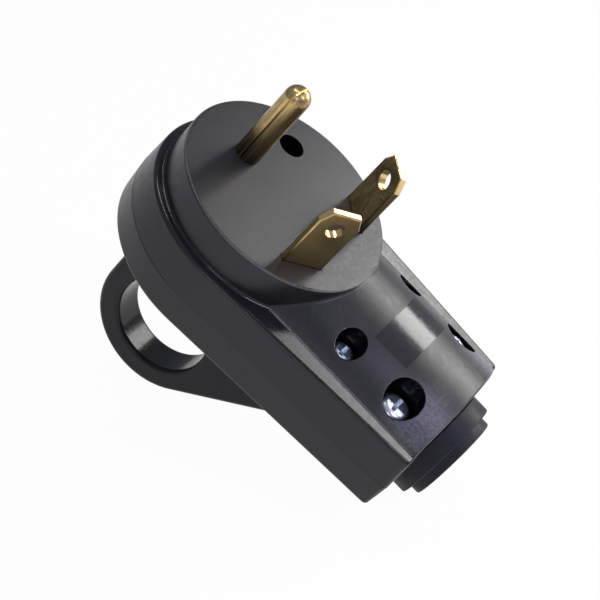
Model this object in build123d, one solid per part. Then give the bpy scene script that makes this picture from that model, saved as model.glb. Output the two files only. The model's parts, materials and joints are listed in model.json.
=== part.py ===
from build123d import *
import os
from collections import namedtuple
from math import acos, asin, atan2, cos, degrees, hypot, radians, sin, tan

# Right-angle caravan power plug with a finger handle, in millimetres.
# Plug axes: the origin is the centre of the contact face, +Z runs out along the blades,
# +Y to the round end and -Y to the cord. Every piece is drawn in these axes, and at the
# end all of them are laid down together on the handle's rim and the cord end.

# Round front that carries the contacts
FACE_RADIUS = 23.15
FACE_HEIGHT = 8.0
FACE_WALL = 3.0
FACE_EDGE = 0.5
FACE_FOOT = 0.6

# Housing halves, which meet on the plane of the cord's axis
BODY_RADIUS = 25.1
BODY_DEPTH = 15.4
FRONT_DEPTH = 8.4
CORD_END = 54.3
END_HALF_WIDTH = 21.15
END_CORNER = 1.4
WALL = 2.2
END_WALL = 2.5
DRAFT = 3.0
LEDGE_EDGE = 0.8
PARTING_BEVEL = 0.1
NECK_HALF_WIDTH = 19.0
NECK_RISE = 7.7
BACK_HALF_WIDTH = 15.2
BACK_RISE = 7.8
BACK_ROUND = 6.0
END_EDGE = 0.6
NECK_SETBACK = 0.2

# Finger handle on the back, a flat fin with a round hole
HANDLE_THICKNESS = 8.6
HANDLE_EDGE = 1.0
RING_INNER = 10.7
RING_OUTER = 15.6
RING_BEHIND_FACE = 44.1
LEG_LANDING = 47.0

# Contacts, stamped from one strip thickness
STRIP = 1.6
BLADE_SPREAD = 11.53
BLADE_DROP = 11.96
BLADE_TURN = 45.0
BLADE_WIDTH = 9.23
BLADE_LENGTH = 15.9
BLADE_TIP_CUT = 1.5
BLADE_TIP_RUN = 3.0
BLADE_HOLE_RADIUS = 2.0
BLADE_HOLE_HEIGHT = 11.4
BLADE_EDGE = 0.35
FOOT_LENGTH = 8.5
FOOT_ROUND = 1.5
FOOT_SCREW = 4.6
PIN_HEIGHT = 11.0
PIN_RADIUS = 2.75
PIN_LENGTH = 20.4
PIN_TIP_ROUND = 2.6
PIN_SEAM = 0.35
PIN_SEAM_DEPTH = 0.9
PIN_SEAM_TURN = -8.0
PIN_SHANK_RADIUS = 2.0
RIVET_RADIUS = 2.9
RIVET_HEIGHT = 0.8
STRAP_WIDTH = 9.0
STRAP_SCREW = 10.0
STRAP_TAIL = 4.4

# Wire terminals behind the contact feet
CLAMP_WIDTH = 7.6
CLAMP_LENGTH = 6.8
CLAMP_THICKNESS = 1.5
CLAMP_GROOVE_RADIUS = 0.7
TERMINAL_HEAD_RADIUS = 3.1
TERMINAL_HEAD_HEIGHT = 2.2
TERMINAL_SHANK_RADIUS = 2.0
TERMINAL_REACH = 4.6
TERMINAL_POCKET_DEPTH = 1.8

# Insulating contact holder
HOLDER_THICKNESS = 3.4
BARRIER = 1.6
BARRIER_HEIGHT = 6.0
BARRIER_ARM = 14.0
HOLDER_SCREW_DROP = 16.8
HOLDER_BOSS_RADIUS = 3.2
HOLDER_HEAD_RADIUS = 2.4
HOLDER_HEAD_HEIGHT = 1.8
HOLDER_SHANK_RADIUS = 1.4
HOLDER_SCREW_BITE = 3.2

# Housing screws: one in the face, two small and two large in the neck
FACE_SCREW_X = 12.2
FACE_SCREW_Y = 6.9
FACE_BORE_RADIUS = 2.75
FACE_SEAT = 9.0
FACE_HEAD_RADIUS = 2.5
FACE_HEAD_HEIGHT = 1.8
FACE_SHANK_RADIUS = 1.3
NECK_SCREW_X = 13.25
NECK_SCREW_Y = 29.95
NECK_BORE_RADIUS = 3.0
NECK_SEAT = 8.4
NECK_HEAD_RADIUS = 2.7
NECK_HEAD_HEIGHT = 2.0
NECK_SHANK_RADIUS = 1.5
END_SCREW_Y = 44.6
END_BORE_RADIUS = 3.95
END_SEAT = 8.7
END_HEAD_RADIUS = 3.5
END_HEAD_HEIGHT = 2.4
END_SHANK_RADIUS = 2.0
SCREW_BITE = 8.5
BORE_WALL = 1.0
REAR_BOSS_WALL = 2.0

# Cord grommet and cord clamp
CORD_BORE_RADIUS = 8.2
GROMMET_NECK_RADIUS = 9.6
GROMMET_FLANGE_RADIUS = 10.8
GROMMET_FLANGE = 1.4
COLLAR_RADIUS = 11.75
COLLAR_REACH = 4.3
NOSE_RADIUS = 9.85
NOSE_REACH = 6.5
GROMMET_EDGE = 0.4
SADDLE_Y = 36.9
SADDLE_LENGTH = 4.4
SADDLE_WALL = 1.8
SADDLE_FOOT = 3.0
SADDLE_SPAN = 14.2
SADDLE_LUG = 2.4
SADDLE_HEAD_RADIUS = 2.1
SADDLE_HEAD_HEIGHT = 1.6
SADDLE_SHANK_RADIUS = 1.4
SADDLE_BOSS_RADIUS = 2.7
CRADLE_WALL = 2.5

# Every screw: recess width, and shares of the head's height and radius and of the shank's radius
SCREW_RECESS = 0.9
HEAD_ROUNDING = 0.6
RECESS_SPAN = 1.2
SHANK_POINT = 0.5

# Clearances
FIT = 0.1
LOOSE = 0.4

# Levels and places that follow from the sizes above
LEDGE = -FACE_HEIGHT
BACK = LEDGE - BODY_DEPTH
PARTING = LEDGE - FRONT_DEPTH
BULGE = FRONT_DEPTH * tan(radians(DRAFT))
BACK_CROWN = BACK - BACK_RISE
FOOT_BACK = -FACE_WALL - STRIP
HOLDER_BACK = FOOT_BACK - HOLDER_THICKNESS
NECK_END = CORD_END - NECK_SETBACK
INNER_END = CORD_END - END_WALL
RING_Z = -RING_BEHIND_FACE
SADDLE_SCREW_X = SADDLE_SPAN - SADDLE_LUG
SHAFT_BASE = (Align.CENTER, Align.CENTER, Align.MIN)

HOT = Pos(BLADE_SPREAD, -BLADE_DROP, 0) * Rot(0, 0, BLADE_TURN)
NEUTRAL = Pos(-BLADE_SPREAD, -BLADE_DROP, 0) * Rot(0, 0, -BLADE_TURN)
GROUND = Pos(0, PIN_HEIGHT, 0) * Rot(0, 0, 180)
TERMINALS = {
    "hot": HOT * Pos(0, FOOT_SCREW, 0),
    "neutral": NEUTRAL * Pos(0, FOOT_SCREW, 0),
    "ground": GROUND * Pos(0, STRAP_SCREW, 0),
}
HOLDER_SCREWS = [(-FACE_SCREW_X, FACE_SCREW_Y), (0, -HOLDER_SCREW_DROP)]
NECK_SCREWS = [(-NECK_SCREW_X, -NECK_SCREW_Y), (NECK_SCREW_X, -NECK_SCREW_Y)]
END_SCREWS = [(-NECK_SCREW_X, -END_SCREW_Y), (NECK_SCREW_X, -END_SCREW_Y)]
SADDLE_SCREWS = [(-SADDLE_SCREW_X, -SADDLE_Y), (SADDLE_SCREW_X, -SADDLE_Y)]

# Each set of housing screws: places, bore in the front half, seat depth, head and shank
ScrewSet = namedtuple("ScrewSet", "places bore seat head height shank")
HOUSING_SCREWS = {
    "face_screw": ScrewSet([(FACE_SCREW_X, FACE_SCREW_Y)], FACE_BORE_RADIUS, FACE_SEAT,
                           FACE_HEAD_RADIUS, FACE_HEAD_HEIGHT, FACE_SHANK_RADIUS),
    "neck_screws": ScrewSet(NECK_SCREWS, NECK_BORE_RADIUS, NECK_SEAT,
                            NECK_HEAD_RADIUS, NECK_HEAD_HEIGHT, NECK_SHANK_RADIUS),
    "end_screws": ScrewSet(END_SCREWS, END_BORE_RADIUS, END_SEAT,
                           END_HEAD_RADIUS, END_HEAD_HEIGHT, END_SHANK_RADIUS),
}

# Shares of an edge's length at which it is sampled
EDGE_SAMPLES = (0, 0.3, 0.7, 1)


def post(x, y, low, high, radius):
    """Round post along Z between two levels."""
    return Pos(x, y, low) * Cylinder(radius, high - low, align=SHAFT_BASE)


def barrel_bore(y_near, y_far, radius):
    """Cylinder on the cord's axis, from y_near out to y_far."""
    middle = (y_near + y_far) / 2
    return Pos(0, middle, PARTING) * Rot(90, 0, 0) * Cylinder(radius, abs(y_far - y_near))


def tangent_touch(corner, centre, radius, side):
    """Point where a line from corner touches the circle, on the given side."""
    dx = corner[0] - centre[0]
    dy = corner[1] - centre[1]
    turn = atan2(dy, dx) + side * acos(radius / hypot(dx, dy))
    return (centre[0] + radius * cos(turn), centre[1] + radius * sin(turn))


def housing_outline(radius, half_width, length):
    """Round end joined by tangent lines to the straight cord end."""
    corner = (half_width, -length)
    touch = tangent_touch(corner, (0, 0), radius, 1)
    right = Line(corner, touch)
    crown = ThreePointArc(touch, (0, radius), (-touch[0], touch[1]))
    left = Line((-touch[0], touch[1]), (-half_width, -length))
    end = Line((-half_width, -length), corner)
    return make_face([right, crown, left, end])


def skirt(depth):
    """One half's tapered side wall, rising from the parting plane, where it is widest."""
    outline = housing_outline(BODY_RADIUS + BULGE, END_HALF_WIDTH + BULGE, CORD_END + BULGE)
    end_corners = outline.vertices().sort_by(Axis.Y)[:2]
    outline = fillet(end_corners, END_CORNER)
    wall = Pos(0, 0, PARTING) * extrude(outline, amount=depth, taper=DRAFT)
    wall = fillet(wall.faces().sort_by(Axis.Z)[-1].edges(), LEDGE_EDGE)
    return chamfer(wall.faces().sort_by(Axis.Z)[0].edges(), PARTING_BEVEL)


def skirt_hollow(top):
    """Space inside the side wall, from the parting plane up to a level."""
    inner = housing_outline(BODY_RADIUS - WALL, END_HALF_WIDTH - WALL, INNER_END)
    return Pos(0, 0, PARTING) * extrude(inner, amount=top - PARTING)


def neck(half_width, rise, base, length, end_edge):
    """Arched barrel over the cord, from the face's axis to an eased cord end."""
    foot = base - WALL
    arch = ThreePointArc((-half_width, base), (0, base + rise), (half_width, base))
    sides = Polyline((half_width, base), (half_width, foot), (-half_width, foot), (-half_width, base))
    barrel = extrude(Plane.XZ * make_face([arch, *sides.edges()]), amount=length)
    if end_edge > 0:
        end_face = barrel.faces().sort_by(Axis.Y)[0]
        barrel = fillet(end_face.edges().filter_by(GeomType.CIRCLE), end_edge)
    return barrel


def back_plateau(half_width, base, crown, rounding, length, end_edge):
    """Raised back with a round end, a large rounding along its rim and an eased cord end."""
    past_end = 2 * rounding
    straight = Rectangle(2 * half_width, length + past_end, align=(Align.CENTER, Align.MAX))
    footprint = straight + Circle(half_width)
    block = Pos(0, 0, crown) * extrude(footprint, amount=base - crown)
    rim = block.faces().sort_by(Axis.Z)[0].edges()
    rim = rim.filter_by(lambda edge: edge.center().Y > -length)
    block = fillet(rim, rounding)
    keep = Pos(0, -length, 0) * Box(
        4 * half_width, 4 * length, 4 * abs(crown), align=(Align.CENTER, Align.MIN, Align.CENTER))
    block = block & keep
    if end_edge > 0:
        cord_face = block.faces().sort_by(Axis.Y)[0]
        block = fillet(cord_face.edges().filter_by(lambda edge: edge.center().Z < base), end_edge)
    return block


def handle():
    """Flat fin on the back: a straight leg, a round end and a long sloping leg."""
    root = BACK + WALL
    landing = (-LEG_LANDING, BACK)
    touch = tangent_touch(landing, (0, RING_Z), RING_OUTER, 1)
    top_leg = Line((RING_OUTER, root), (RING_OUTER, RING_Z))
    rim = ThreePointArc((RING_OUTER, RING_Z), (0, RING_Z - RING_OUTER), touch)
    long_leg = Line(touch, landing)
    heel = Line(landing, (-LEG_LANDING, root))
    base = Line((-LEG_LANDING, root), (RING_OUTER, root))
    outline = make_face([top_leg, rim, long_leg, heel, base]) - Pos(0, RING_Z) * Circle(RING_INNER)
    fin = extrude(Plane.YZ * outline, amount=HANDLE_THICKNESS / 2, both=True)
    side_faces = fin.faces().filter_by(Axis.X)
    edges = side_faces.edges().filter_by(lambda edge: edge.center().Z < BACK - BACK_RISE)
    return fillet(edges, HANDLE_EDGE)


def screw(head_radius, head_height, shank_radius, length):
    """Pan-head screw seated at the origin, shank down, with a cross recess."""
    head = Cylinder(head_radius, head_height, align=SHAFT_BASE)
    head = fillet(head.edges().sort_by(Axis.Z)[-1], HEAD_ROUNDING * head_height)
    slot = Pos(0, 0, head_height) * Box(RECESS_SPAN * head_radius, SCREW_RECESS, head_height)
    shank = Pos(0, 0, -length) * Cylinder(shank_radius, length, align=SHAFT_BASE)
    shank = chamfer(shank.edges().sort_by(Axis.Z)[0], SHANK_POINT * shank_radius)
    return head + shank - slot - Rot(0, 0, 90) * slot


def round_front():
    """Puck that carries the contacts, with an eased rim."""
    puck = post(0, 0, PARTING, 0, FACE_RADIUS)
    return fillet(puck.edges().sort_by(Axis.Z)[-1], FACE_EDGE)


def on_puck_foot(edge):
    """True for an edge where the puck's wall or rim meets the ledge or the neck."""
    points = [edge.position_at(share) for share in EDGE_SAMPLES]
    reach = [hypot(point.X, point.Y) for point in points]
    on_puck = all(FACE_RADIUS - FACE_EDGE + FIT < r < FACE_RADIUS + FIT for r in reach)
    on_ledge = all(abs(point.Z - LEDGE) < FIT for point in points)
    on_neck = edge.geom_type == GeomType.BSPLINE and all(LEDGE - FIT < point.Z < 0 for point in points)
    return on_puck and (on_ledge or on_neck)


def front_body():
    """Outside of the front half, still solid."""
    body = skirt(FRONT_DEPTH) + neck(NECK_HALF_WIDTH, NECK_RISE, LEDGE, NECK_END, END_EDGE) + round_front()
    return fillet(body.edges().filter_by(on_puck_foot), FACE_FOOT)


def front_shell():
    """Front half: contact face, ledge and neck, with bores and screw posts inside."""
    body = front_body()
    hollow = skirt_hollow(LEDGE - WALL)
    hollow += neck(NECK_HALF_WIDTH - WALL, NECK_RISE, LEDGE - WALL, INNER_END, 0)
    hollow -= post(0, 0, -FACE_WALL, 0, FACE_RADIUS)
    hollow += post(0, 0, PARTING, -FACE_WALL, FACE_RADIUS - WALL)
    hollow &= Pos(0, 0, PARTING) * Box(
        4 * BODY_RADIUS, 4 * CORD_END, FACE_HEIGHT + BODY_DEPTH, align=SHAFT_BASE)
    for group in HOUSING_SCREWS.values():
        for x, y in group.places:
            hollow -= post(x, y, PARTING, 0, group.bore + BORE_WALL)
    for x, y in HOLDER_SCREWS:
        hollow -= post(x, y, FOOT_BACK, 0, HOLDER_BOSS_RADIUS)
    shell = body - hollow
    for group in HOUSING_SCREWS.values():
        for x, y in group.places:
            shell -= post(x, y, -group.seat, FACE_WALL, group.bore)
            shell -= post(x, y, PARTING, 0, group.shank + LOOSE)
    for x, y in HOLDER_SCREWS:
        shell -= post(x, y, FOOT_BACK, FOOT_BACK + HOLDER_SCREW_BITE + LOOSE, HOLDER_SHANK_RADIUS + FIT)
    slot = Box(BLADE_WIDTH + 2 * FIT, STRIP + 2 * FIT, 4 * FACE_WALL)
    shell -= HOT * slot
    shell -= NEUTRAL * slot
    shell -= post(0, PIN_HEIGHT, -2 * FACE_WALL, FACE_WALL, PIN_SHANK_RADIUS + FIT)
    for place in TERMINALS.values():
        shell -= place * post(0, 0, -2 * FACE_WALL, TERMINAL_POCKET_DEPTH - FACE_WALL,
                              TERMINAL_SHANK_RADIUS + LOOSE)
    shell -= barrel_bore(-INNER_END / 2, -2 * CORD_END, GROMMET_NECK_RADIUS + FIT) & Pos(
        0, -INNER_END, 0) * Box(4 * BODY_RADIUS, 4 * END_WALL, 4 * BODY_DEPTH)
    return shell


def rear_shell():
    """Rear half: side wall, raised back and handle in one moulding, with screw bosses."""
    body = mirror(skirt(BODY_DEPTH - FRONT_DEPTH), Plane.XY.offset(PARTING))
    body += back_plateau(BACK_HALF_WIDTH, PARTING, BACK_CROWN, BACK_ROUND, NECK_END, END_EDGE)
    body += handle()
    hollow = mirror(skirt_hollow(2 * PARTING - BACK - WALL), Plane.XY.offset(PARTING))
    hollow += back_plateau(BACK_HALF_WIDTH - WALL, PARTING, BACK_CROWN + WALL,
                           BACK_ROUND - WALL, INNER_END, 0)
    for group in HOUSING_SCREWS.values():
        for x, y in group.places:
            hollow -= post(x, y, BACK_CROWN, PARTING, group.shank + REAR_BOSS_WALL)
    cradle = Pos(0, -SADDLE_Y, BACK_CROWN) * Box(
        4 * BODY_RADIUS, CRADLE_WALL, PARTING - BACK_CROWN, align=SHAFT_BASE)
    hollow -= cradle - barrel_bore(-INNER_END / 2, -INNER_END, CORD_BORE_RADIUS + LOOSE)
    for x, y in SADDLE_SCREWS:
        hollow -= post(x, y, BACK_CROWN, PARTING, SADDLE_BOSS_RADIUS)
    shell = body - hollow
    for group in HOUSING_SCREWS.values():
        for x, y in group.places:
            shell -= post(x, y, PARTING - SCREW_BITE - LOOSE, PARTING, group.shank + FIT)
    for x, y in SADDLE_SCREWS:
        shell -= post(x, y, PARTING - SCREW_BITE - LOOSE, PARTING, SADDLE_SHANK_RADIUS + FIT)
    shell -= barrel_bore(-INNER_END / 2, -2 * CORD_END, GROMMET_NECK_RADIUS + FIT) & Pos(
        0, -INNER_END, 0) * Box(4 * BODY_RADIUS, 4 * END_WALL, 4 * BODY_DEPTH)
    return shell


def blade():
    """Flat blade with a drilled, cut-cornered tip, and a foot bent inwards behind the face."""
    half = BLADE_WIDTH / 2
    shoulder = BLADE_LENGTH - BLADE_TIP_RUN
    outline = Polyline((-half, FOOT_BACK), (half, FOOT_BACK), (half, shoulder),
                       (half - BLADE_TIP_CUT, BLADE_LENGTH), (BLADE_TIP_CUT - half, BLADE_LENGTH),
                       (-half, shoulder), (-half, FOOT_BACK))
    flat = make_face(outline) - Pos(0, BLADE_HOLE_HEIGHT) * Circle(BLADE_HOLE_RADIUS)
    upright = extrude(Plane.XZ * flat, amount=STRIP / 2, both=True)
    heel = upright.edges().filter_by(Axis.X).sort_by(Axis.Z)[:2].sort_by(Axis.Y)[0]
    upright = fillet(heel, STRIP / 2)
    stamped = upright.edges().filter_by(GeomType.LINE).filter_by(lambda edge: edge.center().Z > 0)
    upright = fillet(stamped.filter_by(Axis.Y, reverse=True), BLADE_EDGE)
    foot = Pos(0, 0, FOOT_BACK) * Box(BLADE_WIDTH, FOOT_LENGTH, STRIP,
                                      align=(Align.CENTER, Align.MIN, Align.MIN))
    toes = foot.edges().filter_by(Axis.Z).sort_by(Axis.Y)[2:]
    foot = fillet(toes, FOOT_ROUND)
    return upright + foot - terminal_hole(FOOT_SCREW)


def terminal_hole(reach):
    """Screw hole through a contact foot, at its distance from the contact."""
    return post(0, reach, 2 * FOOT_BACK, 0, TERMINAL_SHANK_RADIUS + FIT) & Pos(
        0, reach, FOOT_BACK) * Box(BLADE_WIDTH, BLADE_WIDTH, 2 * STRIP)


def ground_pin():
    """Round pin with a rolled seam and a rounded tip, its root riveted behind the strap."""
    pin = post(0, 0, 0, PIN_LENGTH, PIN_RADIUS)
    pin = fillet(pin.edges().sort_by(Axis.Z)[-1], PIN_TIP_ROUND)
    seam = Rot(0, 0, PIN_SEAM_TURN) * Pos(PIN_RADIUS, 0, 0) * Box(
        2 * PIN_SEAM_DEPTH, PIN_SEAM, PIN_LENGTH, align=SHAFT_BASE)
    tip_slit = Rot(0, 0, PIN_SEAM_TURN) * Pos(0, 0, PIN_LENGTH) * Box(
        2 * PIN_RADIUS, PIN_SEAM, 2 * PIN_SEAM_DEPTH)
    pin = pin - seam - tip_slit
    pin += post(0, 0, FOOT_BACK, 0, PIN_SHANK_RADIUS)
    rivet = post(0, 0, FOOT_BACK - RIVET_HEIGHT, FOOT_BACK, RIVET_RADIUS)
    pin += fillet(rivet.edges().sort_by(Axis.Z)[0], RIVET_HEIGHT / 2)
    return GROUND * pin


def ground_strap():
    """Flat strap from the ground pin to its terminal."""
    half = STRAP_WIDTH / 2
    flat = Rectangle(STRAP_WIDTH, STRAP_SCREW + STRAP_TAIL, align=(Align.CENTER, Align.MIN))
    tail = flat.vertices().sort_by(Axis.Y)[2:]
    flat = fillet(tail, FOOT_ROUND) + Circle(half)
    strap = Pos(0, 0, FOOT_BACK) * extrude(flat, amount=STRIP)
    strap -= post(0, 0, 2 * FOOT_BACK, 0, PIN_SHANK_RADIUS + FIT)
    return GROUND * (strap - terminal_hole(STRAP_SCREW))


def wire_clamp():
    """Grooved pressure plate that holds a wire against its foot."""
    plate = Pos(0, 0, FOOT_BACK) * Box(CLAMP_WIDTH, CLAMP_LENGTH, CLAMP_THICKNESS,
                                       align=(Align.CENTER, Align.CENTER, Align.MAX))
    plate -= post(0, 0, 2 * FOOT_BACK, 0, TERMINAL_SHANK_RADIUS + LOOSE / 2)
    groove_x = (TERMINAL_SHANK_RADIUS + CLAMP_WIDTH / 2) / 2
    for side in (-1, 1):
        plate -= Pos(side * groove_x, 0, FOOT_BACK) * Rot(90, 0, 0) * Cylinder(
            CLAMP_GROOVE_RADIUS, 2 * CLAMP_LENGTH)
    return plate


def terminal_screw():
    """Binding screw, driven from behind through its clamp plate and foot."""
    body = screw(TERMINAL_HEAD_RADIUS, TERMINAL_HEAD_HEIGHT, TERMINAL_SHANK_RADIUS, TERMINAL_REACH)
    return Pos(0, 0, FOOT_BACK - CLAMP_THICKNESS) * Rot(180, 0, 0) * body


def contact_holder():
    """Insulating disc that traps the contact feet, with barriers between the terminals."""
    disc = post(0, 0, HOLDER_BACK, FOOT_BACK, FACE_RADIUS - WALL - LOOSE)
    window = Box(CLAMP_WIDTH + 2 * LOOSE, CLAMP_LENGTH + 2 * LOOSE, 4 * abs(HOLDER_BACK))
    arm_y = FOOT_SCREW + CLAMP_LENGTH / 2 + 2 * LOOSE + BARRIER / 2
    arm = Pos(0, arm_y, HOLDER_BACK) * Box(BARRIER_ARM, BARRIER, BARRIER_HEIGHT,
                                           align=(Align.CENTER, Align.CENTER, Align.MAX))
    fork_y = arm_y / cos(radians(BLADE_TURN)) - BLADE_DROP - BLADE_SPREAD * tan(radians(BLADE_TURN))
    stem_run = fork_y + HOLDER_SCREW_DROP - HOLDER_HEAD_RADIUS - LOOSE
    stem = Pos(0, fork_y, HOLDER_BACK) * Box(BARRIER, stem_run, BARRIER_HEIGHT,
                                             align=(Align.CENTER, Align.MAX, Align.MAX))
    holder = disc + HOT * arm + NEUTRAL * arm + stem
    for place in TERMINALS.values():
        holder -= place * window
    holder -= post(0, PIN_HEIGHT, 2 * HOLDER_BACK, 0, RIVET_RADIUS + LOOSE)
    holder -= post(FACE_SCREW_X, FACE_SCREW_Y, 2 * HOLDER_BACK, 0,
                   FACE_BORE_RADIUS + BORE_WALL + LOOSE)
    for x, y in HOLDER_SCREWS:
        holder -= post(x, y, 2 * HOLDER_BACK, 0, HOLDER_SHANK_RADIUS + LOOSE)
    return holder


def holder_screws():
    """Two small screws that hold the contact holder to the face."""
    body = Rot(180, 0, 0) * screw(HOLDER_HEAD_RADIUS, HOLDER_HEAD_HEIGHT, HOLDER_SHANK_RADIUS,
                                  HOLDER_THICKNESS + HOLDER_SCREW_BITE)
    return Compound(children=[Pos(x, y, HOLDER_BACK) * body for x, y in HOLDER_SCREWS])


def housing_screws(group):
    """One set of the screws that draw the two halves together."""
    body = screw(group.head, group.height, group.shank, SCREW_BITE - group.seat - PARTING)
    return Compound(children=[Pos(x, y, -group.seat) * body for x, y in group.places])


def cord_grommet():
    """Stepped rubber sleeve, its neck held in the opening between the two halves."""
    wall_out = CORD_END + BULGE
    steps = [(CORD_BORE_RADIUS, FIT - INNER_END + GROMMET_FLANGE),
             (GROMMET_FLANGE_RADIUS, FIT - INNER_END + GROMMET_FLANGE),
             (GROMMET_FLANGE_RADIUS, FIT - INNER_END),
             (GROMMET_NECK_RADIUS, FIT - INNER_END),
             (GROMMET_NECK_RADIUS, -wall_out),
             (COLLAR_RADIUS, -wall_out),
             (COLLAR_RADIUS, -CORD_END - COLLAR_REACH),
             (NOSE_RADIUS, -CORD_END - COLLAR_REACH),
             (NOSE_RADIUS, -CORD_END - NOSE_REACH),
             (CORD_BORE_RADIUS, -CORD_END - NOSE_REACH)]
    section = make_face(Polyline(*steps, close=True))
    outer_corners = section.vertices().filter_by(
        lambda corner: corner.Y < -wall_out - FIT and corner.X > NOSE_RADIUS - FIT)
    outer_corners = outer_corners.filter_by(
        lambda corner: abs(corner.X - NOSE_RADIUS) > FIT or corner.Y < -CORD_END - COLLAR_REACH - FIT)
    section = fillet(outer_corners, GROMMET_EDGE)
    return Pos(0, 0, PARTING) * revolve(section, Axis.Y)


def cord_clamp():
    """Saddle that is screwed down over the cord onto the rear half."""
    ring = Circle(CORD_BORE_RADIUS + SADDLE_WALL)
    feet = Rectangle(2 * SADDLE_SPAN, SADDLE_FOOT, align=(Align.CENTER, Align.MIN))
    upper = Rectangle(4 * SADDLE_SPAN, 4 * SADDLE_SPAN, align=(Align.CENTER, Align.MIN))
    section = (ring + feet) & upper
    section -= Circle(CORD_BORE_RADIUS)
    saddle = Pos(0, -SADDLE_Y, PARTING) * extrude(Plane.XZ * section, amount=SADDLE_LENGTH / 2, both=True)
    for x, y in SADDLE_SCREWS:
        saddle -= post(x, y, PARTING, 0, SADDLE_SHANK_RADIUS + LOOSE / 2)
    return saddle


def clamp_screws():
    """Two screws through the saddle's feet into the rear half."""
    body = screw(SADDLE_HEAD_RADIUS, SADDLE_HEAD_HEIGHT, SADDLE_SHANK_RADIUS, SADDLE_FOOT + SCREW_BITE)
    return Compound(children=[Pos(x, y, PARTING + SADDLE_FOOT) * body for x, y in SADDLE_SCREWS])


def rest_place(pieces):
    """Lay the plug on the handle's rim and the back's cord end, centred over the origin."""
    run = NECK_END - END_EDGE
    drop = RING_Z - BACK_CROWN - END_EDGE
    lean = asin((RING_OUTER - END_EDGE) / hypot(run, drop)) - atan2(drop, run)
    turned = Rot(degrees(lean), 0, 0)
    spread = Compound(children=[turned * piece for piece in pieces]).bounding_box()
    floor = RING_Z * cos(lean) - RING_OUTER
    return Pos(0, -(spread.min.Y + spread.max.Y) / 2, -floor) * turned


def all_pieces():
    """Every piece of the plug by name, in plug axes."""
    pieces = {
        "front_shell": front_shell(),
        "rear_shell": rear_shell(),
        "contact_holder": contact_holder(),
        "hot_blade": HOT * blade(),
        "neutral_blade": NEUTRAL * blade(),
        "ground_pin": ground_pin(),
        "ground_strap": ground_strap(),
        "holder_screws": holder_screws(),
        "cord_grommet": cord_grommet(),
        "cord_clamp": cord_clamp(),
        "clamp_screws": clamp_screws(),
    }
    for name, place in TERMINALS.items():
        pieces[name + "_wire_clamp"] = place * wire_clamp()
        pieces[name + "_terminal_screw"] = place * terminal_screw()
    for name, group in HOUSING_SCREWS.items():
        pieces[name] = housing_screws(group)
    return pieces


def main():
    """Write each piece, laid down, as its own STEP file."""
    os.makedirs("parts", exist_ok=True)
    pieces = all_pieces()
    rest = rest_place(pieces.values())
    for name, piece in pieces.items():
        export_step(rest * piece, os.path.join("parts", name + ".step"))
    print("laid down at", rest)


if __name__ == "__main__":
    main()
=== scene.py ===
import json
import math
from collections import namedtuple

import bmesh
import bpy
from mathutils import Matrix, Vector
from mathutils.bvhtree import BVHTree


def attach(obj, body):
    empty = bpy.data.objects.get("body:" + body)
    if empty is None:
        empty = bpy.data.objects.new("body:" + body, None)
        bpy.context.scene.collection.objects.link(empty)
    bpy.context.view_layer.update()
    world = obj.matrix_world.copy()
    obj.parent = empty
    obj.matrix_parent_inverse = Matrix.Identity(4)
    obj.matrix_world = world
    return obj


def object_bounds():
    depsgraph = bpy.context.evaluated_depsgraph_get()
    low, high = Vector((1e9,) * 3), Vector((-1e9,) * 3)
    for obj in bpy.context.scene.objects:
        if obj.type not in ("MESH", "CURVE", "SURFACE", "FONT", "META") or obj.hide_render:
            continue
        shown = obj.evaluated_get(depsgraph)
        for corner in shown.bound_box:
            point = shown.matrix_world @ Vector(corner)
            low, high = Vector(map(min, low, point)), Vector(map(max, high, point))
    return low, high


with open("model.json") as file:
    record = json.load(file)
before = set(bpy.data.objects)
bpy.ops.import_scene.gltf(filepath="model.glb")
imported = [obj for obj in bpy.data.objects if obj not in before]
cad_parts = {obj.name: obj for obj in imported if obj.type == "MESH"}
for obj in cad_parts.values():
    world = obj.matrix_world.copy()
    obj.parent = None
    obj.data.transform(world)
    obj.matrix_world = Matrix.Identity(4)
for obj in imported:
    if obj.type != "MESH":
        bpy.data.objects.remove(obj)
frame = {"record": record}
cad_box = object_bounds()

Lamp = namedtuple("Lamp", "name at aim size watts colour")
Noise = namedtuple("Noise", "scale detail roughness", defaults=(2.0, 0.5))
Brass = namedtuple("Brass", "name roughness tarnish root")
Plating = namedtuple("Plating", "name light dark roughness")

MM = 0.001

# Plug axes, as a person holds the plug: +X across, +Y to the round end, +Z out of the contact face
BLADE_DROP = 11.96

mounts = {mount["name"]: mount for mount in frame["record"]["mounts"]}
hot_root = Vector(mounts["hot_blade"]["pos_m"])
neutral_root = Vector(mounts["neutral_blade"]["pos_m"])
FACE_NORMAL = Vector(mounts["ground_pin"]["axis"]).normalized()
ACROSS = (hot_root - neutral_root).normalized()
ROUND_END = FACE_NORMAL.cross(ACROSS)
FACE_CENTRE = (hot_root + neutral_root) / 2 + ROUND_END * BLADE_DROP * MM


def plug_vector(x, y, z):
    """A direction or offset in plug axes, as a vector of the frame."""
    return ACROSS * x + ROUND_END * y + FACE_NORMAL * z


def plug_point(x, y, z):
    """A point given in plug millimetres, in metres of the frame."""
    return FACE_CENTRE + plug_vector(x, y, z) * MM


def plug_depth(point):
    """How far a point of the frame lies in front of the contact face, in millimetres."""
    return (point - FACE_CENTRE).dot(FACE_NORMAL) / MM


finger_hole = frame["record"]["physics"]["openings"][0]["box_m"]
RING_DEPTH = plug_depth((Vector(finger_hole[0]) + Vector(finger_hole[1])) / 2)

# Camera, in plug millimetres
CAMERA_AT = (-339.4, -27.9, 260.3)
CAMERA_AIM = (-7.7, -16.8, -10.0)
CAMERA_UP = (0.4248, 0.7185, 0.5507)
CAMERA_LENS = 130.8
CAMERA_SENSOR = 36.0
CAMERA_CLIP = 0.01

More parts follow.
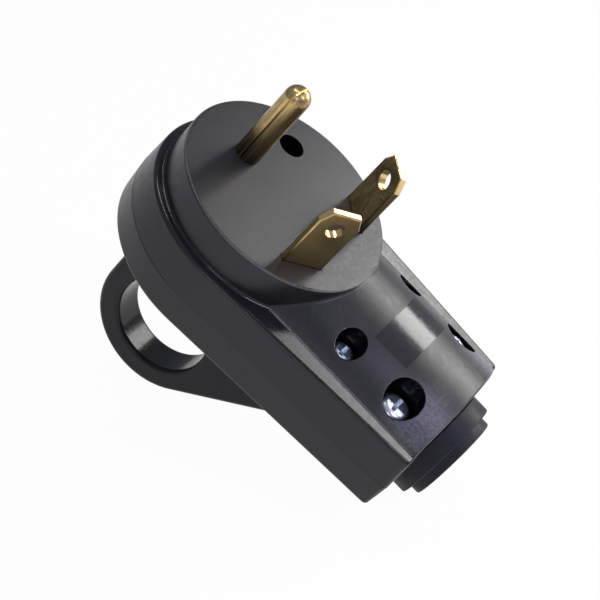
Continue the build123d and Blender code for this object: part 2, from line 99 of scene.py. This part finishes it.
# Light: lamps in plug millimetres, and soft light from all sides
LAMPS = (
    Lamp("key", at=(222, -95, 185), aim=(0, -10, -5), size=(220, 128),
         watts=0.75, colour=(1.0, 0.98, 0.94)),
    Lamp("front", at=(-400, -40, 310), aim=(0, -10, -10), size=(110, 180),
         watts=0.3, colour=(0.94, 0.96, 1.0)),
    Lamp("cord_strip", at=(-20, -115, 250), aim=(0, -20, -5), size=(16, 90),
         watts=0.22, colour=(0.80, 0.77, 1.0)),
    Lamp("round_strip", at=(23, 172, 224), aim=(0, 0, -5), size=(20, 120),
         watts=0.16, colour=(0.94, 0.95, 1.0)),
)
AMBIENT = 0.32
AMBIENT_COLOUR = (0.80, 0.84, 1.0, 1.0)
WHITE = (1.0, 1.0, 1.0, 1.0)

# Floor: its size and level in metres, its paint, and its white share for the camera and for mirrors
FLOOR_HALF = 3.0
FLOOR_DROP = 0.0002
FLOOR_PAINT = (0.88, 0.88, 0.88, 1.0)
FLOOR_GLOW = 0.97
FLOOR_SHEEN = 0.75

# Ends of ramps: a middle band of noise, and a ramp that falls from one to nought
MID_NOISE = (0.3, 0.7)
RISING = (0.0, 1.0)
FALLING = (1.0, 0.0)

# Housing features that the finish follows, in plug millimetres: bores as x, y and radius
BORES = (
    (12.2, 6.9, 2.75),
    (-13.25, -29.95, 3.0),
    (13.25, -29.95, 3.0),
    (-13.25, -44.6, 3.95),
    (13.25, -44.6, 3.95),
)
BORE_FADE = (0.05, 0.2)
BORE_FLOOR = (-11.0, -10.5)
RING_FADE = (10.8, 11.2)
HANDLE_FADE = (-26.0, -24.0)
LEDGE_LEVEL = -8.0
LEDGE_FADE = (0.15, 0.4)
LEDGE_LEAN = 0.06
RIM_RADIUS = 23.15
RIM_FADE = (0.24, 0.36)
HAZE_CENTRE = (14.0, -50.0)
HAZE_RADII = (3.0, 10.0)
HAZE_FLOOR = (-8.0, -7.0)
WALL_FACING = (0.25, 0.55)

# Black plastic of the housing
PLASTIC_CLOUD = Noise(0.09, 3.0)
PLASTIC_MOTTLE = Noise(0.7, 4.0, 0.7)
PLASTIC_GRAIN = Noise(4.0, 3.0, 0.65)
PLASTIC_DARK = (0.011, 0.011, 0.015)
PLASTIC_LIGHT = (0.016, 0.016, 0.019)
GRAIN_PALE = (0.034, 0.034, 0.036)
GRAIN_BAND = (0.5, 0.85)
GRAIN_SHARE = (0.0, 0.3)
HAZE_SPECKLE = Noise(1.6, 4.0, 0.7)
HAZE_COLOUR = (0.13, 0.125, 0.16)
HAZE_BAND = (0.35, 0.7)
HAZE_SHARE = (0.35, 1.0)
# Painted highlight: a paler line along the rounded rim of the contact face
RIM_HIGHLIGHT_COLOUR = (0.10, 0.10, 0.105)
# Painted shade: near-black inside the screw bores, where shade falls
BORE_SHADE_COLOUR = (0.003, 0.003, 0.004)
PLASTIC_ROUGH = (0.30, 0.40)
WALL_SMOOTH = 0.02
POLISH = 0.17
PLASTIC_RELIEF = 0.03
WALL_FLAT = 0.75
PLASTIC_SHINE = 0.45
BORE_DULL = 0.25
HANDLE_DULL = 0.15
LEDGE_DULL = 0.08

# Bare polished place on the neck, in plug millimetres, and its finish
PLATE_X = (-9.0, 9.0)
PLATE_Y = (-40.9, -32.1)
PLATE_LIFT = 0.10
PLATE_SINK = 0.25
PLATE_BEVEL = 0.12
PLATE_STEPS = 24
PROBE_HEIGHT = 20.0
PLATE_CLOUD = Noise(0.5, 3.0)
PLATE_SCUFF = Noise(2.5, 4.0, 0.7)
PLATE_DARK = (0.018, 0.018, 0.021)
PLATE_LIGHT = (0.03, 0.03, 0.033)
SCUFF_BAND = (0.35, 0.75)
PLATE_ROUGH = (0.12, 0.26)
PLATE_RELIEF = 0.02

# Half-round bosses over the screws' ends on the back, in plug millimetres: x, y and radius
BOSSES = (
    (12.2, 6.9, 2.2),
    (-13.25, -44.6, 2.8),
    (13.25, -44.6, 2.8),
)
BOSS_TOP = -22.5
BOSS_FOOT = -25.5
BOSS_DOME = 1.6
BOSS_SEGMENTS = 48
BOSS_RINGS = 10

# Edges of the scene's own pieces that stay sharp, in radians
SHARP_ANGLE = 0.6

# Grey insulator inside the housing
INSULATOR_CLOUD = Noise(0.15, 3.0)
INSULATOR_GRAIN = Noise(4.0)
INSULATOR_DARK = (0.14, 0.14, 0.15)
INSULATOR_LIGHT = (0.19, 0.19, 0.20)
INSULATOR_ROUGH = (0.42, 0.55)
INSULATOR_RELIEF = 0.02

# Rubber of the grommet
RUBBER_CLOUD = Noise(0.25, 4.0, 0.6)
RUBBER_GRAIN = Noise(5.0)
RUBBER_DARK = (0.014, 0.014, 0.020)
RUBBER_LIGHT = (0.026, 0.026, 0.034)
RUBBER_ROUGH = (0.42, 0.6)
RUBBER_SHINE = 0.2
RUBBER_RELIEF = 0.03

# Brass: bare metal, the two films on it and the painted shade at its root, which reaches up in millimetres
BLADE_BRASS = Brass("blade_brass", roughness=0.24, tarnish=0.95, root=7.0)
PIN_BRASS = Brass("pin_brass", roughness=0.22, tarnish=0.95, root=9.0)
STRAP_BRASS = Brass("strap_brass", roughness=0.3, tarnish=0.3, root=0.1)
BRIGHT_BRASS = (0.83, 0.60, 0.27)
OLIVE_FILM = (0.32, 0.27, 0.10)
BROWN_FILM = (0.24, 0.16, 0.10)
ROOT_SHADE = (0.10, 0.08, 0.05)
BRASS_FILM = Noise(0.35, 5.0, 0.65)
BRASS_STREAK = Noise(1.0, 4.0, 0.6)
STREAK_STRETCH = (1.1, 1.1, 0.09)
STREAK_BAND = (0.35, 0.65)
DIRT_BAND = (0.7, 1.15)
DIRT_SHARE = (0.25, 1.0)
DIRT_ROUGH = 0.16
RUBBED_EDGE = (0.52, 0.60)
FILM_RELIEF = 0.7
BRASS_RELIEF = 0.02

# Plated and dyed steel
ZINC = Plating("zinc_plate", light=(0.56, 0.61, 0.70), dark=(0.40, 0.46, 0.56), roughness=0.26)
NICKEL = Plating("nickel_plate", light=(0.75, 0.73, 0.69), dark=(0.62, 0.60, 0.56), roughness=0.2)
GREEN_DYE = Plating("green_dye", light=(0.12, 0.38, 0.17), dark=(0.07, 0.26, 0.11), roughness=0.28)
PLATING_CLOUD = Noise(1.1, 4.0, 0.6)
PLATING_GRAIN = Noise(3.0, 3.0)
PLATING_SPREAD = 0.14
PLATING_RELIEF = 0.015


class Tree:
    """A node tree with short calls to add and join nodes."""

    def __init__(self, node_tree):
        self.nodes = node_tree.nodes
        self.links = node_tree.links

    def add(self, kind, **values):
        """Adds a node; a value goes to the socket of that name, or else to the node's own setting."""
        node = self.nodes.new(kind)
        for name, value in values.items():
            if name in node.inputs:
                node.inputs[name].default_value = value
            else:
                setattr(node, name, value)
        return node

    def join(self, source, target):
        self.links.new(source, target)

    def math(self, operation, first, second=None, clamp=False):
        """A maths node; each side is a number or a socket."""
        node = self.nodes.new("ShaderNodeMath")
        node.operation = operation
        node.use_clamp = clamp
        for socket, value in zip(node.inputs, (first, second)):
            if value is None:
                continue
            if isinstance(value, (int, float)):
                socket.default_value = value
            else:
                self.join(value, socket)
        return node.outputs[0]

    def plus(self, first, second):
        return self.math("ADD", first, second)

    def minus(self, first, second):
        return self.math("SUBTRACT", first, second)

    def times(self, first, second):
        return self.math("MULTIPLY", first, second)

    def largest(self, first, second):
        return self.math("MAXIMUM", first, second)

    def absolute(self, value):
        return self.math("ABSOLUTE", value)

    def distance(self, first, first_at, second, second_at):
        """How far two coordinates lie from a point."""
        first_square = self.math("POWER", self.minus(first, first_at), 2.0)
        second_square = self.math("POWER", self.minus(second, second_at), 2.0)
        return self.math("SQRT", self.plus(first_square, second_square))

    def vector(self, operation, first, second=None):
        """A vector maths node; each side is a vector or a socket."""
        node = self.add("ShaderNodeVectorMath", operation=operation)
        for socket, value in zip(node.inputs, (first, second)):
            if value is None:
                continue
            if isinstance(value, Vector):
                socket.default_value = value
            else:
                self.join(value, socket)
        return node

    def ramp(self, value, ends, to_ends=RISING):
        """Turns a value between two ends into one between two others, smoothly."""
        node = self.add("ShaderNodeMapRange", interpolation_type="SMOOTHSTEP")
        for name, number in zip(("From Min", "From Max", "To Min", "To Max"), (*ends, *to_ends)):
            node.inputs[name].default_value = number
        self.join(value, node.inputs["Value"])
        return node.outputs["Result"]

    def blend(self, factor, first, second):
        """Mixes two colours; each is a colour or a socket."""
        node = self.add("ShaderNodeMix", data_type="RGBA")
        self.join(factor, node.inputs["Factor"])
        for socket, value in zip((node.inputs[6], node.inputs[7]), (first, second)):
            if isinstance(value, tuple):
                socket.default_value = (*value, 1.0)
            else:
                self.join(value, socket)
        return node.outputs[2]

    def noise(self, place, pattern):
        """Cloudy noise from 0 to 1."""
        node = self.add("ShaderNodeTexNoise", Scale=pattern.scale, Detail=pattern.detail,
                        Roughness=pattern.roughness)
        self.join(place, node.inputs["Vector"])
        return node.outputs["Fac"]


def look_at(obj, at, aim, up):
    """Places a camera or lamp at a point, facing another."""
    back = (at - aim).normalized()
    right = up.cross(back).normalized()
    turn = Matrix((right, back.cross(right), back)).transposed().to_4x4()
    obj.matrix_world = Matrix.Translation(at) @ turn


def add_camera():
    data = bpy.data.cameras.new("camera")
    data.lens = CAMERA_LENS
    data.sensor_width = CAMERA_SENSOR
    data.clip_start = CAMERA_CLIP
    camera = bpy.data.objects.new("camera", data)
    bpy.context.collection.objects.link(camera)
    look_at(camera, plug_point(*CAMERA_AT), plug_point(*CAMERA_AIM), plug_vector(*CAMERA_UP))
    bpy.context.scene.camera = camera


def add_softbox(lamp):
    """A rectangular lamp."""
    data = bpy.data.lights.new(lamp.name, "AREA")
    data.shape = "RECTANGLE"
    data.size = lamp.size[0] * MM
    data.size_y = lamp.size[1] * MM
    data.energy = lamp.watts
    data.color = lamp.colour
    softbox = bpy.data.objects.new(lamp.name, data)
    bpy.context.collection.objects.link(softbox)
    look_at(softbox, plug_point(*lamp.at), plug_point(*lamp.aim), FACE_NORMAL)


def add_world():
    """Soft light from all sides, white where the camera sees it."""
    world = bpy.data.worlds.new("studio")
    bpy.context.scene.world = world
    world.use_nodes = True
    tree = Tree(world.node_tree)
    tree.nodes.clear()
    path = tree.add("ShaderNodeLightPath")
    light = tree.add("ShaderNodeBackground", Color=AMBIENT_COLOUR, Strength=AMBIENT)
    seen = tree.add("ShaderNodeBackground", Color=WHITE, Strength=1.0)
    mix = tree.add("ShaderNodeMixShader")
    output = tree.add("ShaderNodeOutputWorld")
    tree.join(path.outputs["Is Camera Ray"], mix.inputs[0])
    tree.join(light.outputs[0], mix.inputs[1])
    tree.join(seen.outputs[0], mix.inputs[2])
    tree.join(mix.outputs[0], output.inputs["Surface"])


def add_floor():
    """A pale floor that keeps a soft shadow and is white where the camera or a mirror sees it."""
    mesh = bpy.data.meshes.new("floor")
    corners = [(-1, -1), (1, -1), (1, 1), (-1, 1)]
    level = cad_box[0][2] - FLOOR_DROP
    mesh.from_pydata([(x * FLOOR_HALF, y * FLOOR_HALF, level) for x, y in corners], [], [(0, 1, 2, 3)])
    floor = bpy.data.objects.new("floor", mesh)
    bpy.context.collection.objects.link(floor)

    material = bpy.data.materials.new("floor_white")
    material.use_nodes = True
    tree = Tree(material.node_tree)
    tree.nodes.clear()
    paint = tree.add("ShaderNodeBsdfDiffuse", Color=FLOOR_PAINT)
    white = tree.add("ShaderNodeEmission", Color=WHITE, Strength=1.0)
    path = tree.add("ShaderNodeLightPath")
    mix = tree.add("ShaderNodeMixShader")
    output = tree.add("ShaderNodeOutputMaterial")
    mirrored = tree.plus(path.outputs["Is Glossy Ray"], path.outputs["Is Transmission Ray"])
    camera_share = tree.times(path.outputs["Is Camera Ray"], FLOOR_GLOW)
    mirror_share = tree.times(mirrored, FLOOR_SHEEN)
    tree.join(tree.math("ADD", camera_share, mirror_share, clamp=True), mix.inputs[0])
    tree.join(paint.outputs[0], mix.inputs[1])
    tree.join(white.outputs[0], mix.inputs[2])
    tree.join(mix.outputs[0], output.inputs["Surface"])
    mesh.materials.append(material)


def add_plug_axes():
    """An empty whose own space is plug millimetres, so that finishes are laid out in plug sizes."""
    empty = bpy.data.objects.new("plug_axes", None)
    empty.empty_display_size = 1.0
    bpy.context.collection.objects.link(empty)
    turn = Matrix((ACROSS, ROUND_END, FACE_NORMAL)).transposed().to_4x4()
    empty.matrix_world = Matrix.Translation(FACE_CENTRE) @ turn @ Matrix.Scale(MM, 4)
    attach(empty, "root")
    return empty


def new_material(name):
    """A material with a plain principled shader: its tree, its shader and its place in plug millimetres."""
    material = bpy.data.materials.new(name)
    material.use_nodes = True
    tree = Tree(material.node_tree)
    tree.nodes.clear()
    shader = tree.add("ShaderNodeBsdfPrincipled")
    output = tree.add("ShaderNodeOutputMaterial")
    tree.join(shader.outputs[0], output.inputs["Surface"])
    place = tree.add("ShaderNodeTexCoord", object=plug_axes).outputs["Object"]
    return material, tree, shader, place


def split(tree, place):
    """The three coordinates of a place."""
    axes = tree.add("ShaderNodeSeparateXYZ")
    tree.join(place, axes.inputs[0])
    return [axes.outputs[name] for name in "XYZ"]


def bump(tree, shader, height, distance, normal=None):
    """Lays a height, in units of a distance in millimetres, over the surface or over another normal."""
    node = tree.add("ShaderNodeBump", Distance=distance * MM)
    tree.join(height, node.inputs["Height"])
    if normal is not None:
        tree.join(normal, node.inputs["Normal"])
    tree.join(node.outputs["Normal"], shader.inputs["Normal"])


def bore_mask(tree, side, along, height):
    """One inside the screw bores, above their seats."""
    bore = 0.0
    for x, y, radius in BORES:
        fade = [radius + edge for edge in BORE_FADE]
        bore = tree.largest(bore, tree.ramp(tree.distance(side, x, along, y), fade, FALLING))
    return tree.times(bore, tree.ramp(height, BORE_FLOOR))


def haze_mask(tree, place, side, along, height, wall):
    """Speckled haze on the neck, at both corners of the cord end."""
    from_corner = tree.distance(tree.absolute(side), HAZE_CENTRE[0], along, HAZE_CENTRE[1])
    near_end = tree.ramp(from_corner, HAZE_RADII, FALLING)
    speckle = tree.ramp(tree.noise(place, HAZE_SPECKLE), HAZE_BAND, HAZE_SHARE)
    haze = tree.times(tree.times(near_end, speckle), tree.minus(1.0, wall))
    return tree.times(haze, tree.ramp(height, HAZE_FLOOR))


def leaned_normal(tree, surface, side, ledge):
    """The surface's normal, leaned slightly outward on the ledge."""
    lean = tree.vector("SCALE", ACROSS)
    outward = tree.times(tree.math("SIGN", side), LEDGE_LEAN)
    tree.join(tree.times(outward, ledge), lean.inputs["Scale"])
    leaned = tree.vector("ADD", surface, lean.outputs[0])
    return tree.vector("NORMALIZE", leaned.outputs[0]).outputs[0]


def housing_plastic():
    """Black moulded plastic: grained faces, smoother walls, a polished ring, dark bores with painted shade,
    a painted highlight on the face's rim, a hazy cord end.
    """
    material, tree, shader, place = new_material("housing_plastic")
    side, along, height = split(tree, place)
    surface = tree.add("ShaderNodeNewGeometry").outputs["Normal"]
    facing = tree.vector("DOT_PRODUCT", surface, FACE_NORMAL).outputs["Value"]
    wall = tree.ramp(tree.absolute(facing), WALL_FACING, FALLING)
    ring = tree.ramp(tree.distance(height, RING_DEPTH, along, 0.0), RING_FADE, FALLING)
    bore = bore_mask(tree, side, along, height)
    ledge = tree.ramp(tree.absolute(tree.minus(height, LEDGE_LEVEL)), LEDGE_FADE, FALLING)
    handle = tree.ramp(height, HANDLE_FADE, FALLING)
    from_rim = tree.distance(tree.distance(side, 0.0, along, 0.0), RIM_RADIUS, height, 0.0)
    rim = tree.ramp(from_rim, RIM_FADE, FALLING)
    smooth = tree.largest(tree.largest(ring, bore), ledge)

    cloud = tree.noise(place, PLASTIC_CLOUD)
    grain = tree.noise(place, PLASTIC_GRAIN)
    mottle = tree.noise(place, PLASTIC_MOTTLE)
    colour = tree.blend(cloud, PLASTIC_DARK, PLASTIC_LIGHT)
    colour = tree.blend(tree.ramp(grain, GRAIN_BAND, GRAIN_SHARE), colour, GRAIN_PALE)
    colour = tree.blend(haze_mask(tree, place, side, along, height, wall), colour, HAZE_COLOUR)
    # Painted highlight: the rounded rim of the contact face is painted paler
    colour = tree.blend(rim, colour, RIM_HIGHLIGHT_COLOUR)
    # Painted shade: the screw bores are painted near-black above their seats
    tree.join(tree.blend(bore, colour, BORE_SHADE_COLOUR), shader.inputs["Base Color"])

    rough = tree.ramp(mottle, MID_NOISE, PLASTIC_ROUGH)
    rough = tree.minus(rough, tree.times(wall, WALL_SMOOTH))
    rough = tree.minus(rough, tree.times(smooth, POLISH))
    tree.join(rough, shader.inputs["Roughness"])

    relief = tree.minus(1.0, tree.times(wall, WALL_FLAT))
    relief = tree.times(relief, tree.minus(1.0, smooth))
    relief = tree.times(tree.plus(grain, mottle), relief)
    bump(tree, shader, relief, PLASTIC_RELIEF, leaned_normal(tree, surface, side, ledge))

    shine = tree.minus(PLASTIC_SHINE, tree.times(bore, BORE_DULL))
    shine = tree.minus(shine, tree.times(handle, HANDLE_DULL))
    shine = tree.minus(shine, tree.times(ledge, LEDGE_DULL))
    tree.join(shine, shader.inputs["Specular IOR Level"])
    return material


def polished_plastic():
    """The bare polished place on the neck."""
    material, tree, shader, place = new_material("polished_plastic")
    cloud = tree.noise(place, PLATE_CLOUD)
    scuff = tree.noise(place, PLATE_SCUFF)
    tree.join(tree.blend(cloud, PLATE_DARK, PLATE_LIGHT), shader.inputs["Base Color"])
    tree.join(tree.ramp(scuff, SCUFF_BAND, PLATE_ROUGH), shader.inputs["Roughness"])
    bump(tree, shader, cloud, PLATE_RELIEF)
    return material


def insulator_plastic():
    """Grey moulded insulator inside the housing."""
    material, tree, shader, place = new_material("insulator_plastic")
    cloud = tree.noise(place, INSULATOR_CLOUD)
    grain = tree.noise(place, INSULATOR_GRAIN)
    tree.join(tree.blend(cloud, INSULATOR_DARK, INSULATOR_LIGHT), shader.inputs["Base Color"])
    tree.join(tree.ramp(cloud, MID_NOISE, INSULATOR_ROUGH), shader.inputs["Roughness"])
    bump(tree, shader, grain, INSULATOR_RELIEF)
    return material


def rubber():
    """Dark moulded rubber with a faint bloom."""
    material, tree, shader, place = new_material("grommet_rubber")
    cloud = tree.noise(place, RUBBER_CLOUD)
    grain = tree.noise(place, RUBBER_GRAIN)
    tree.join(tree.blend(cloud, RUBBER_DARK, RUBBER_LIGHT), shader.inputs["Base Color"])
    tree.join(tree.ramp(cloud, MID_NOISE, RUBBER_ROUGH), shader.inputs["Roughness"])
    shader.inputs["Specular IOR Level"].default_value = RUBBER_SHINE
    bump(tree, shader, grain, RUBBER_RELIEF)
    return material


def brass(metal):
    """Brass under an uneven olive and brown film, with painted shade at the root and brighter on rubbed
    edges.
    """
    material, tree, shader, place = new_material(metal.name)
    film = tree.noise(place, BRASS_FILM)
    stretched = tree.add("ShaderNodeMapping", Scale=STREAK_STRETCH)
    tree.join(place, stretched.inputs["Vector"])
    streak = tree.noise(stretched.outputs[0], BRASS_STREAK)
    pointiness = tree.add("ShaderNodeNewGeometry").outputs["Pointiness"]
    unrubbed = tree.ramp(pointiness, RUBBED_EDGE, FALLING)
    height = split(tree, place)[2]

    colour = tree.blend(tree.ramp(streak, STREAK_BAND), OLIVE_FILM, BROWN_FILM)
    dirt = tree.times(tree.ramp(tree.plus(film, streak), DIRT_BAND, DIRT_SHARE), metal.tarnish)
    dirt = tree.math("MULTIPLY", dirt, unrubbed, clamp=True)
    colour = tree.blend(dirt, BRIGHT_BRASS, colour)
    # Painted shade: the brass darkens towards its root at the contact face
    root_shade = tree.times(tree.ramp(height, (0.0, metal.root), FALLING), unrubbed)
    tree.join(tree.blend(root_shade, colour, ROOT_SHADE), shader.inputs["Base Color"])
    rough = tree.plus(tree.times(dirt, DIRT_ROUGH), metal.roughness)
    tree.join(rough, shader.inputs["Roughness"])
    bump(tree, shader, tree.plus(streak, tree.times(film, FILM_RELIEF)), BRASS_RELIEF)
    shader.inputs["Metallic"].default_value = 1.0
    return material


def plated(plating):
    """Plated or dyed steel with a faint cloudy sheen."""
    material, tree, shader, place = new_material(plating.name)
    cloud = tree.noise(place, PLATING_CLOUD)
    colour = tree.blend(tree.ramp(cloud, MID_NOISE), plating.light, plating.dark)
    tree.join(colour, shader.inputs["Base Color"])
    rough = (plating.roughness, plating.roughness + PLATING_SPREAD)
    tree.join(tree.ramp(cloud, MID_NOISE, rough), shader.inputs["Roughness"])
    bump(tree, shader, tree.noise(place, PLATING_GRAIN), PLATING_RELIEF)
    shader.inputs["Metallic"].default_value = 1.0
    return material


def dress(material, *nodes):
    """Gives CAD nodes a material."""
    for node in nodes:
        slots = bpy.data.objects[node].material_slots
        if not slots:
            bpy.data.objects[node].data.materials.append(material)
        for slot in slots:
            slot.material = material


def new_piece(name, mesh, material):
    """Turns a mesh under work into an object of the scene, smooth between its sharp edges."""
    for face in mesh.faces:
        face.smooth = True
    data = bpy.data.meshes.new(name)
    mesh.to_mesh(data)
    mesh.free()
    data.materials.append(material)
    data.set_sharp_from_angle(angle=SHARP_ANGLE)
    piece = bpy.data.objects.new(name, data)
    bpy.context.collection.objects.link(piece)
    return piece


def add_plate():
    """The bare polished place: a thin pad that follows the neck's surface."""
    shell = bpy.data.objects["front_shell"]
    surface = BVHTree.FromPolygons(
        [vertex.co for vertex in shell.data.vertices],
        [polygon.vertices for polygon in shell.data.polygons],
    )

    def on_neck(x, y, lift):
        hit = surface.ray_cast(plug_point(x, y, PROBE_HEIGHT), -FACE_NORMAL)[0]
        return hit + FACE_NORMAL * lift * MM

    def steps(ends, inset):
        low = ends[0] + inset
        high = ends[1] - inset
        return [low + (high - low) * i / PLATE_STEPS for i in range(PLATE_STEPS + 1)]

    mesh = bmesh.new()

    def layer(inset, lift):
        return [
            [mesh.verts.new(on_neck(x, y, lift)) for x in steps(PLATE_X, inset)]
            for y in steps(PLATE_Y, inset)
        ]

    def rim(rows):
        near = rows[0][:-1]
        right = [row[-1] for row in rows[:-1]]
        far = rows[-1][:0:-1]
        left = [row[0] for row in rows[:0:-1]]
        return near + right + far + left

    top = layer(PLATE_BEVEL, PLATE_LIFT)
    foot = layer(0.0, -PLATE_SINK)
    for rows, flip in ((top, False), (foot, True)):
        for near, far in zip(rows, rows[1:]):
            for i in range(PLATE_STEPS):
                corners = (near[i], near[i + 1], far[i + 1], far[i])
                mesh.faces.new(corners[::-1] if flip else corners)
    upper = rim(top)
    lower = rim(foot)
    count = len(upper)
    for i in range(count):
        j = (i + 1) % count
        mesh.faces.new((lower[i], lower[j], upper[j], upper[i]))
    plate = new_piece("bare_plate", mesh, polished_plastic())
    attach(plate, "root")


def add_bosses(plastic):
    """Round bosses with domed ends, sunk in the sides of the back."""
    mesh = bmesh.new()

    def ring(x, y, height, reach):
        turns = [2 * math.pi * i / BOSS_SEGMENTS for i in range(BOSS_SEGMENTS)]
        return [
            mesh.verts.new(plug_point(x + reach * math.cos(turn), y + reach * math.sin(turn), height))
            for turn in turns
        ]

    for x, y, radius in BOSSES:
        rings = [ring(x, y, BOSS_TOP, radius)]
        for i in range(BOSS_RINGS):
            turn = math.pi / 2 * i / BOSS_RINGS
            rings.append(ring(x, y, BOSS_FOOT - BOSS_DOME * math.sin(turn), radius * math.cos(turn)))
        tip = mesh.verts.new(plug_point(x, y, BOSS_FOOT - BOSS_DOME))
        mesh.faces.new(rings[0])
        for i in range(BOSS_SEGMENTS):
            j = (i + 1) % BOSS_SEGMENTS
            for upper, lower in zip(rings, rings[1:]):
                mesh.faces.new((lower[i], lower[j], upper[j], upper[i]))
            mesh.faces.new((tip, rings[-1][j], rings[-1][i]))
    bosses = new_piece("screw_bosses", mesh, plastic)
    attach(bosses, "root")


plug_axes = add_plug_axes()
add_camera()
add_world()
add_floor()
for lamp in LAMPS:
    add_softbox(lamp)

plastic = housing_plastic()
dress(plastic, "front_shell", "rear_shell")
dress(insulator_plastic(), "contact_holder", "cord_clamp")
dress(rubber(), "cord_grommet")
dress(brass(BLADE_BRASS), "hot_blade", "neutral_blade")
dress(brass(PIN_BRASS), "ground_pin")
dress(brass(STRAP_BRASS), "ground_strap", "hot_terminal_screw")
dress(plated(ZINC), "face_screw", "neck_screws", "end_screws", "holder_screws", "clamp_screws",
      "hot_wire_clamp", "neutral_wire_clamp", "ground_wire_clamp")
dress(plated(NICKEL), "neutral_terminal_screw")
dress(plated(GREEN_DYE), "ground_terminal_screw")
add_plate()
add_bosses(plastic)

bpy.context.scene.view_settings.view_transform = "Standard"
